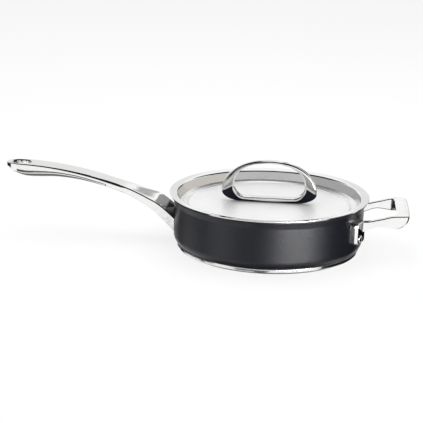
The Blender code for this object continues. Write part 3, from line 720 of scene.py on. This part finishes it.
def make_body():
    """The body, from its inner floor up the wall, over the lip and down to its underside."""
    floor = BODY_BOTTOM + BODY_WALL
    lip = BODY_RADIUS + LIP_REACH
    under_lip = BODY_HEIGHT - LIP_THICK
    wall = rounded([(0.0, floor, 0.0), (INNER_RADIUS, floor, BODY_CORNER - BODY_WALL),
                    (INNER_RADIUS, BODY_HEIGHT, LIP_INSIDE_ROUND), (lip, BODY_HEIGHT, LIP_EDGE_ROUND),
                    (lip, under_lip, LIP_EDGE_ROUND),
                    (BODY_RADIUS + WALL_FLARE, under_lip, FLARE_TOP_ROUND),
                    (BODY_RADIUS, under_lip - FLARE_HEIGHT, FLARE_FOOT_ROUND),
                    (BODY_RADIUS, BODY_BOTTOM - CORNER_SINK + BODY_CORNER, 0.0)])
    sweep = math.asin((BODY_CORNER - CORNER_SINK) / BODY_CORNER)
    for k in range(1, BODY_CORNER_STEPS + 1):
        angle = sweep * k / BODY_CORNER_STEPS
        wall.append((BODY_RADIUS - BODY_CORNER * (1 - math.cos(angle)),
                     BODY_BOTTOM - CORNER_SINK + BODY_CORNER * (1 - math.sin(angle))))
    wall.append((0.0, BODY_BOTTOM))
    return turned("pan_body_anodised", wall)


def make_lid():
    """The pressed lid: disc, step, ledge, wall and ring, then the same line a sheet's thickness below."""
    top = []
    disc_edge = DISC_TOP - DISC_DOME
    ledge = LID_SEAT - LEDGE_DEPTH
    for k in range(DISC_RINGS):
        radius = DISC_RADIUS * k / DISC_RINGS
        top.append((radius, DISC_TOP - DISC_DOME * (radius / DISC_RADIUS) ** 2))
    slope = RING_DISH / RING_WIDTH
    ring_inner = LID_RADIUS - RING_WIDTH
    rise = LID_SEAT + LID_SHEET * math.hypot(1.0, slope) - slope * (RING_SEAT_RADIUS - ring_inner)
    ledge_radius = DISC_RADIUS + STEP_WIDTH
    top += rounded([(*top.pop(), 0.0), (DISC_RADIUS, disc_edge, STEP_FOOT_ROUND),
                    (ledge_radius, ledge, STEP_TOP_ROUND),
                    (ledge_radius + LEDGE_WIDTH, ledge, WALL_LEDGE_ROUND),
                    (ring_inner, rise, RING_WALL_ROUND),
                    (LID_RADIUS, rise + RING_DISH, RING_EDGE_ROUND),
                    (LID_RADIUS, rise + RING_DISH - LID_EDGE_DROP, 0.0)])
    below = offset_line(top, LID_SHEET)
    below[0] = (0.0, DISC_TOP - LID_SHEET)
    return turned("lid_polished", top + below[::-1])


def superellipse(half_width, height, power, angle):
    """A point of a squared-off half ellipse."""
    c, s = math.cos(angle), math.sin(angle)
    return math.copysign(half_width * abs(c) ** (2 / power), c), height * abs(s) ** (2 / power)


def loop_line(half_width, spring, top, foot, corner, power):
    """Points round the knob's loop: the arch, a lower corner, the bar and the other corner."""
    points = []
    for k in range(ARCH_STEPS + 1):
        x, z = superellipse(half_width, top - spring, power, math.pi * k / ARCH_STEPS)
        points.append((x, spring + z))
    lower = []
    for k in range(1, CORNER_STEPS + 1):
        angle = math.pi / 2 * (k - ELBOW_LEAD) / (CORNER_STEPS - ELBOW_LEAD)
        lower.append((half_width - corner * (1 - math.cos(angle)),
                      spring - (spring - foot) * math.sin(angle)))
    points += [(-x, z) for x, z in lower]
    reach = half_width - corner
    for k in range(1, BAR_STEPS):
        points.append((-reach + 2 * reach * k / BAR_STEPS, foot))
    points += lower[::-1]
    return points


def knob_section(outer, inner, keel, band, half, bevel):
    """The front of a section from the outer edge to the eye, then its mirror image behind."""
    outer, inner = Vector(outer), Vector(inner)
    across = inner - outer
    width = across.length
    inside = min(bevel, width * EYE_SHARE)
    turns = [math.pi / 2 * k / EDGE_STEPS for k in range(EDGE_STEPS + 1)]
    if keel < half:
        ridge = max(width - band, width * RIDGE_LEAST)
        steps = [(width * along, keel * share) for along, share in KEEL_EDGE]
        steps.append((ridge / 2, (keel + half) / 2))
        steps += [(ridge + along, half + deep) for along, deep in RIDGE_CREASE]
    else:
        outside = min(OUTER_CHAMFER, width * OUTER_SHARE)
        steps = [(outside * (1.0 - math.cos(turn)), half - outside * (1.0 - math.sin(turn)))
                 for turn in turns]
    steps += [(width - inside * (1.0 - math.sin(turn)), half - inside * (1.0 - math.cos(turn)))
              for turn in turns]
    side = [(outer + across * (s / width), y) for s, y in steps]
    ring = [(point.x, -y, point.y) for point, y in side]
    ring += [(point.x, y, point.y) for point, y in reversed(side)]
    return [(x, y, KNOB_FOOT + z) for x, y, z in ring]


def make_knob():
    """The stirrup loop, between its outer line and its eye, with facets below the elbows."""
    outer = loop_line(KNOB_HALF_WIDTH, KNOB_ELBOW, KNOB_HEIGHT, 0.0, KNOB_CORNER, OUTER_POWER)
    eye = loop_line(KNOB_HALF_WIDTH - KNOB_SIDE_BAND, EYE_SPRING, KNOB_HEIGHT - KNOB_TOP_BAND,
                    KNOB_BAR, EYE_CORNER, EYE_POWER)
    half = KNOB_DEPTH / 2
    sections = []
    for i, (out, into) in enumerate(zip(outer, eye)):
        keel, band = half, KEEL_BAND
        bevel = EYE_CHAMFER + EYE_SWELL * smoothstep(min(i, ARCH_STEPS - i), 0, EYE_SWELL_STEPS)
        if i > ARCH_STEPS:
            step = min(i - ARCH_STEPS, len(outer) - i) - 1
            into_bar = smoothstep(step, CORNER_STEPS * BAR_START, CORNER_STEPS - 1)
            keel = KEEL + (half * BAR_KEEL - KEEL) * into_bar
            band = KEEL_BAND + (KNOB_BAR * BAR_BAND - KEEL_BAND) * into_bar
        sections.append(knob_section(out, into, keel, band, half, bevel))
    knob = skinned("lid_knob_polished", sections, ring=True)
    count = len(sections[0])

    def keel_facet(i, k):
        """The facets that slant in below the elbows, from the outer edge to the ridge; they get a painted
        dark reflection.
        """
        return 1.0 if i > ARCH_STEPS and min(k, count - 1 - k) < FACET_POINTS else 0.0

    # Painted dark reflection on the keel facets
    mark_painted_dark_points(knob, sections, keel_facet)
    return knob


def handle_top(distance):
    """The height of the long handle's top, which dips at the root."""
    share = distance / HANDLE_LENGTH
    dip = max(0.0, 1.0 - distance / ROOT_DIP_LENGTH) ** ROOT_DIP_POWER
    return (HANDLE_ROOT_TOP + ROOT_DIP * (1.0 - dip)
            + HANDLE_RISE * (1.0 - (1.0 - share / HANDLE_APEX) ** 2))


def handle_half_width(distance):
    """Half of the long handle's width, flared at the root and rounded at the tip."""
    flare = 1.0 - smoothstep(distance, FLARE_START, FLARE_END)
    width = HANDLE_GRIP_WIDTH + (HANDLE_ROOT_WIDTH - HANDLE_GRIP_WIDTH) * flare
    into_tip = max(0.0, (distance - HANDLE_LENGTH + TIP_ROUNDING) / TIP_ROUNDING)
    return width / 2 * (1.0 - min(into_tip, TIP_FLAT) ** TIP_POWER) ** (1 / TIP_POWER)


def handle_section(distance):
    """Points round the long handle: its flat top, chamfers, upright sides and rounded belly."""
    share = distance / HANDLE_LENGTH
    top = handle_top(distance)
    half = handle_half_width(distance)
    edge = min(spline(HANDLE_EDGES, share), half * EDGE_LIMIT)
    side = spline(SIDE_HEIGHTS, share)
    belly = spline(BELLY_DEPTHS, share)
    below = LOWER_EDGE * (1.0 - smoothstep(share, *LOWER_EDGE_FADE))
    right = [(half / 2, top), (half - edge - CREASE, top), (half - edge, top - CREASE_DROP),
             (half - edge * CHAMFER_END, top - edge * CHAMFER_START),
             (half - edge * CHAMFER_START, top - edge * CHAMFER_END),
             (half, top - edge), (half, top - edge - CREASE),
             (half, top - edge - (side - edge) / 2), (half, top - side + below),
             (half - below, top - side)]
    for k in range(1, BELLY_STEPS):
        angle = math.pi / 2 * k / BELLY_STEPS
        right.append(((half - below) * math.cos(angle), top - side - belly * math.sin(angle)))
    left = [(-y, z) for y, z in right[::-1]]
    ring = [(0.0, top)] + right + [(0.0, top - side - belly)] + left
    return [(-BODY_RADIUS - distance, y, z) for y, z in ring]


def hollow_section(distance):
    """Points round the hollow under the root, whose roof runs down to the belly."""
    share = distance / HANDLE_LENGTH
    half = handle_half_width(distance) - HOLLOW_SIDE_WALL
    depth = spline(SIDE_HEIGHTS, share) + spline(BELLY_DEPTHS, share)
    fade = smoothstep(distance / HOLLOW_LENGTH, *HOLLOW_FADE)
    roof = handle_top(distance) - HOLLOW_ROOF - fade * (depth - HOLLOW_ROOF)
    shoulder, flat = roof - HOLLOW_CORNER, half - HOLLOW_CORNER
    ring = [(half, shoulder), (flat, roof), (-flat, roof), (-half, shoulder),
            (-half, roof - HOLLOW_DROP), (half, roof - HOLLOW_DROP)]
    return [(-BODY_RADIUS - distance, y, z) for y, z in ring]


def make_long_handle():
    """The long handle, cut to the body's round, hollowed under its root and slotted at its tip."""
    start = -HANDLE_ROOT_WIDTH ** 2 / BODY_RADIUS / 4
    tip_start = HANDLE_LENGTH - TIP_ROUNDING
    distances = [start + (tip_start - start) * k / GRIP_STEPS for k in range(GRIP_STEPS)]
    for k in range(TIP_STEPS + 1):
        distances.append(tip_start + TIP_ROUNDING * TIP_REACH * math.sin(math.pi / 2 * k / TIP_STEPS))
    handle = skinned("long_handle_polished", [handle_section(distance) for distance in distances])

    combine(handle, round_block("seat", SEAT_RADIUS), "DIFFERENCE")
    hollow = skinned("hollow", [hollow_section(HOLLOW_LENGTH * k / HOLLOW_STEPS)
                                for k in range(HOLLOW_STEPS + 1)])
    combine(hollow, round_block("hollow_end", SEAT_RADIUS + HOLLOW_END_WALL), "DIFFERENCE")
    combine(handle, hollow, "DIFFERENCE")

    half_length, half_width = SLOT_LENGTH / 2, SLOT_WIDTH / 2
    level = handle_top(HANDLE_LENGTH - SLOT_FROM_TIP)
    outline = rounded([(SLOT_CENTRE - half_length, -half_width, SLOT_CORNER),
                       (SLOT_CENTRE + half_length, -half_width, SLOT_CORNER),
                       (SLOT_CENTRE + half_length, half_width, SLOT_CORNER),
                       (SLOT_CENTRE - half_length, half_width, SLOT_CORNER)], closed=True)

    def widened(extra):
        """The slot's outline, grown by some width on each side."""
        wide = 1 + extra / half_width
        return [(SLOT_CENTRE + (x - SLOT_CENTRE) * wide, y * wide) for x, y in outline]

    levels = ((0.0, SLOT_CUT_FOOT), (0.0, level - SLOT_EDGE), (SLOT_EDGE, level + SLOT_EDGE_RISE),
              (SLOT_EDGE * 3, level + SLOT_CUT_RISE))
    slot = skinned("slot", [[(x, y, z) for x, y in widened(extra)] for extra, z in levels])
    combine(handle, slot, "DIFFERENCE")
    shade_handle(handle)

    def root_top(centre, facing):
        """The top close to the pan, which gets a painted dark reflection of the body."""
        near = centre.x > -BODY_RADIUS - ROOT_PAINTED_REACH
        return ROOT_STRENGTH if near and facing.z > FACING_UP else 0.0

    # Painted dark reflection of the body on the top of the root
    mark_painted_dark_faces(handle, root_top)
    return handle


def helper_outline(half_width, reach, corner, bow, start):
    """Half of a plan line from the pan's side round one corner to the middle of the bar, mirrored on."""
    points = []
    corner_x, corner_y = reach - bow - corner, corner - half_width
    for k in range(HELPER_ARM_STEPS + 1):
        points.append((start + (corner_x - start) * k / HELPER_ARM_STEPS, -half_width))
    for k in range(1, HELPER_CORNER_STEPS + 1):
        angle = math.pi / 2 * k / HELPER_CORNER_STEPS
        points.append((corner_x + corner * math.sin(angle), corner_y - corner * math.cos(angle)))
    for k in range(1, HELPER_BAR_STEPS + 1):
        share = k / HELPER_BAR_STEPS
        points.append((corner_x + corner + bow * (1.0 - (1.0 - share) ** 2), corner_y * (1.0 - share)))
    return points + [(x, -y) for x, y in points[-2::-1]]


def make_helper_bar():
    """The looped bar: its top and underside follow the arms, its outer face curls in below."""
    eye_end = HELPER_REACH - HELPER_BAR
    span = eye_end - BODY_RADIUS
    start = BODY_RADIUS + ARM_TOP_FALLS[0][0] * span
    cut, small = HELPER_CHAMFER, HELPER_UNDER_CHAMFER

    def top(x):
        """The height of the bar's top."""
        return HELPER_TOP - spline(ARM_TOP_FALLS, (x - BODY_RADIUS) / span)

    def under(x):
        """The height of the bar's underside."""
        return HELPER_TOP - HELPER_BAR_HEIGHT + spline(ARM_UNDER_RISES, (x - BODY_RADIUS) / span)

    def outside(depth, inset):
        """The outer side's plan line at a share of its depth."""
        reach = HELPER_REACH - HELPER_DROOP * (1.0 - math.sqrt(1.0 - depth * depth))
        draft = HELPER_DRAFT * (1.0 - depth)
        return helper_outline(HELPER_HALF_WIDTH - inset - draft, reach - inset, HELPER_CORNER - inset,
                              HELPER_BOW, start)

    def eye(outset):
        """The finger gap's plan line."""
        return helper_outline(HELPER_HALF_WIDTH - HELPER_ARM + outset, eye_end + outset,
                              HELPER_EYE_CORNER + outset, 0.0, start)

    rows = [[(x, y, top(x)) for x, y in outside(0.0, cut)]]
    for k in range(HELPER_FACE_STEPS + 1):
        share = HELPER_FACE_SHARE * k / HELPER_FACE_STEPS
        rows.append([(x, y, top(x) - cut + (under(x) - top(x) + cut) * share)
                     for x, y in outside(share, 0.0)])
    rows.append([(x, y, under(x)) for x, y in outside(HELPER_FACE_SHARE, small)])
    rows.append([(x, y, under(x)) for x, y in eye(small)])
    rows.append([(x, y, under(x) + small) for x, y in eye(0.0)])
    rows.append([(x, y, top(x) - cut) for x, y in eye(0.0)])
    rows.append([(x, y, top(x)) for x, y in eye(cut)])
    return skinned("helper_handle_polished", [list(section) for section in zip(*rows)])


def make_helper_handle():
    """The looped bar with a foot on each arm, cut to the body's round."""
    handle = make_helper_bar()
    middle = FOOT_TOP - FOOT_HEIGHT / 2
    half_height = FOOT_HEIGHT / 2
    face = BODY_RADIUS + FOOT_THICK
    levels = ((BODY_RADIUS - FOOT_THICK, FOOT_OUTBOARD, 0.0), (face - FOOT_SLOPE, FOOT_OUTBOARD, 0.0),
              (face - HELPER_CHAMFER, FOOT_OUTBOARD - FOOT_SLOPE + HELPER_CHAMFER, 0.0),
              (face, FOOT_OUTBOARD - FOOT_SLOPE, HELPER_CHAMFER))
    for side in (-1, 1):
        angle = side * FOOT_ANGLE
        outward = Vector((math.cos(angle), math.sin(angle), 0.0))
        along = Vector((-math.sin(angle), math.cos(angle), 0.0)) * -side
        sections = []
        for depth, edge, inset in levels:
            tall, wide = half_height - inset, FOOT_INBOARD - inset
            outline = rounded([(-edge, -tall, FOOT_CORNER), (wide, -tall, FOOT_CORNER),
                               (wide, tall, FOOT_CORNER), (-edge, tall, FOOT_CORNER)], closed=True)
            sections.append([outward * depth + along * a + Vector((0.0, 0.0, middle + b))
                             for a, b in outline])
        combine(handle, skinned("foot", sections), "UNION")
    combine(handle, round_block("seat", SEAT_RADIUS), "DIFFERENCE")
    shade_handle(handle)

    def foot_face(centre, facing):
        """The flat faces of the feet, round the rivets, which get a painted dark reflection."""
        for angle in (-FOOT_ANGLE, FOOT_ANGLE):
            outward = Vector((math.cos(angle), math.sin(angle), 0.0))
            if facing.dot(outward) > FACING_OUT and abs(centre.dot(outward) - face) < FACE_TOLERANCE:
                return FOOT_STRENGTH
        return 0.0

    # Painted dark reflection on the flat faces of the feet
    mark_painted_dark_faces(handle, foot_face)
    return handle


def dome_line(radius, base, height):
    """Points over a dome, from its rim to its top."""
    turns = [math.pi / 2 * k / RIVET_DOME_STEPS for k in range(RIVET_DOME_STEPS)]
    line = [(radius * math.cos(turn), base + height * math.sin(turn)) for turn in turns]
    return line + [(0.0, base + height)]


def make_rivet(name, angle, height, grip):
    """A rivet with domed ends, turned upright and then laid on its radius of the body."""
    dip = RIVET_HEAD ** 2 / (2 * INNER_RADIUS)
    head = INNER_RADIUS - GAP - dip
    tail = BODY_RADIUS + grip + GAP
    line = dome_line(RIVET_HEAD, head, -RIVET_HEAD_HEIGHT)[::-1]
    line += [(RIVET_SHANK, head), (RIVET_SHANK, tail)]
    line += dome_line(RIVET_TAIL, tail, RIVET_TAIL_HEIGHT)
    rivet = turned(name, line, SMALL_FACETS)
    rivet.data.transform(Matrix.Translation((0.0, 0.0, height)) @ Matrix.Rotation(angle, 4, "Z")
                         @ Matrix.Rotation(math.pi / 2, 4, "Y"))
    return rivet


def build_pieces():
    """Every piece with its finish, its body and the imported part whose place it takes."""
    polished = bare_metal("polished cast steel", (0.90, 0.90, 0.89), (0.94, 0.94, 0.93), 0.05, 0.10)
    sheet = lid_sheet()
    cap = bare_metal("cap steel", (0.76, 0.76, 0.75), (0.82, 0.82, 0.81), 0.10, 0.18)
    plain = bare_metal("plain steel", (0.60, 0.60, 0.60), (0.68, 0.68, 0.67), 0.22, 0.34)
    core = bare_metal("bare aluminium", (0.66, 0.67, 0.68), (0.74, 0.75, 0.76), 0.30, 0.42)
    charcoal = anodised()

    finish_piece(make_base_cap(), "pan", "base_cap", cap)
    finish_piece(make_body(), "pan", "pan_body", charcoal)
    finish_piece(make_lid(), "lid", "lid", sheet)
    finish_piece(make_knob(), "lid", "lid_knob", polished)
    finish_piece(make_long_handle(), "pan", "long_handle", polished)
    finish_piece(make_helper_handle(), "pan", "helper_handle", polished)

    long_angle = math.asin(LONG_RIVET_SPACING / 2 / BODY_RADIUS)
    for number, angle in enumerate((math.pi - long_angle, math.pi + long_angle), start=1):
        rivet = make_rivet(f"long_rivet_{number}_polished", angle, LONG_RIVET_HEIGHT,
                           GAP + HOLLOW_END_WALL)
        finish_piece(rivet, "pan", f"long_handle_rivet_{number}", polished)
    for number, angle in enumerate((-FOOT_ANGLE, FOOT_ANGLE), start=1):
        rivet = make_rivet(f"helper_rivet_{number}_polished", angle, HELPER_RIVET_HEIGHT, FOOT_THICK)
        finish_piece(rivet, "pan", f"helper_handle_rivet_{number}", polished)

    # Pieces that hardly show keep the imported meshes
    for node, material in (("base_core", core), ("knob_screw_1", plain), ("knob_screw_2", plain),
                           ("knob_washer_1", plain), ("knob_washer_2", plain)):
        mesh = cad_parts[node].data
        mesh.materials.clear()
        mesh.materials.append(material)


# Stage

def make_floor():
    """A pale floor that takes soft shadows; the camera sees it mixed with plain white."""
    bpy.ops.object.select_all(action="DESELECT")
    bpy.ops.mesh.primitive_plane_add(size=FLOOR_SIZE, location=(0.0, 0.0, -FLOOR_DROP))
    floor = name_piece("studio_floor")
    material, nodes, links, shader = new_material("white floor")
    shader.inputs["Base Color"].default_value = (FLOOR_SHADE, FLOOR_SHADE, FLOOR_SHADE, 1.0)
    shader.inputs["Roughness"].default_value = FLOOR_ROUGH
    shader.inputs["Specular IOR Level"].default_value = 0.0
    rays = nodes.new("ShaderNodeLightPath")
    share = calc(nodes, links, "MULTIPLY", rays.outputs["Is Camera Ray"], FLOOR_WHITE_SHARE)
    glow = nodes.new("ShaderNodeEmission")
    glow.inputs["Color"].default_value = (*WHITE, 1.0)
    mix = nodes.new("ShaderNodeMixShader")
    links.new(share, mix.inputs["Fac"])
    links.new(shader.outputs["BSDF"], mix.inputs[1])
    links.new(glow.outputs["Emission"], mix.inputs[2])
    links.new(mix.outputs["Shader"], nodes["Material Output"].inputs["Surface"])
    floor.data.materials.append(material)
    floor.visible_glossy = False


def window(nodes, links, source, start, end, soft):
    """One between two limits of a value and nothing beyond, with soft edges."""
    rise = curve(nodes, links, source, start - soft / 2, start + soft / 2)
    fall = curve(nodes, links, source, end - soft / 2, end + soft / 2, 1.0, 0.0)
    return calc(nodes, links, "MULTIPLY", rise, fall)


def make_world():
    """White to the camera, grey to dull surfaces, and to shiny ones a white room with the panels in it."""
    world = bpy.data.worlds.new("studio")
    bpy.context.scene.world = world
    world.use_nodes = True
    nodes, links = world.node_tree.nodes, world.node_tree.links
    background = nodes["Background"]
    place = nodes.new("ShaderNodeTexCoord")
    split = nodes.new("ShaderNodeSeparateXYZ")
    links.new(place.outputs["Generated"], split.inputs["Vector"])
    ahead = calc(nodes, links, "MULTIPLY", split.outputs["Y"], -1.0)
    turn = calc(nodes, links, "DEGREES", calc(nodes, links, "ARCTAN2", split.outputs["X"], ahead))
    sources = {"turn": turn, "right": split.outputs["X"], "deep": split.outputs["Y"]}

    room = WHITE
    for way, start, end, low, high, soft_sides, soft_ends, tone in PANELS:
        sides = window(nodes, links, sources[way], start, end, soft_sides)
        ends = window(nodes, links, split.outputs["Z"], low, high, soft_ends)
        room = blend(nodes, links, calc(nodes, links, "MULTIPLY", sides, ends), room, tone)
    rays = nodes.new("ShaderNodeLightPath")
    room = blend(nodes, links, rays.outputs["Is Glossy Ray"], AMBIENT, room)
    room = blend(nodes, links, rays.outputs["Is Camera Ray"], room, WHITE)
    links.new(room, background.inputs["Color"])
    background.inputs["Strength"].default_value = 1.0


def make_lamp():
    """One wide soft lamp overhead, which shiny metal doesn't mirror."""
    data = bpy.data.lights.new("overhead", "AREA")
    data.shape = "SQUARE"
    data.size = LAMP_SIZE
    data.energy = LAMP_POWER
    lamp = bpy.data.objects.new("overhead", data)
    bpy.context.scene.collection.objects.link(lamp)
    lamp.location = LAMP_PLACE
    lamp.rotation_mode = "QUATERNION"
    lamp.rotation_quaternion = (-Vector(LAMP_PLACE)).to_track_quat("-Z", "Y")
    lamp.visible_glossy = False


def make_camera():
    """A camera that faces the origin, is turned aside, tipped and rolled, and then goes round the pan."""
    data = bpy.data.cameras.new("photo view")
    camera = bpy.data.objects.new("photo view", data)
    bpy.context.scene.collection.objects.link(camera)
    place = Vector((0.0, -VIEW_DISTANCE * math.cos(VIEW_HEIGHT), VIEW_DISTANCE * math.sin(VIEW_HEIGHT)))
    ahead = -place.normalized()
    right = Vector((1.0, 0.0, 0.0))
    up = right.cross(ahead)
    yaw = Matrix.Rotation(VIEW_YAW, 3, up)
    ahead, right = yaw @ ahead, yaw @ right
    pitch = Matrix.Rotation(VIEW_PITCH, 3, right)
    ahead, up = pitch @ ahead, pitch @ up
    rolled_right = right * math.cos(VIEW_ROLL) + up * math.sin(VIEW_ROLL)
    rolled_up = up * math.cos(VIEW_ROLL) - right * math.sin(VIEW_ROLL)
    turn = Matrix.Rotation(VIEW_TURN, 3, "Z")
    axes = [turn @ axis for axis in (rolled_right, rolled_up, -ahead)]
    matrix = Matrix(axes).transposed().to_4x4()
    matrix.translation = turn @ place
    camera.matrix_world = matrix
    data.sensor_width = SENSOR
    data.lens = FOCAL_PIXELS / IMAGE_SIZE * SENSOR
    data.clip_start = CLIP_START
    bpy.context.scene.camera = camera


build_pieces()
make_floor()
make_world()
make_lamp()
make_camera()
bpy.context.scene.view_settings.view_transform = "Standard"
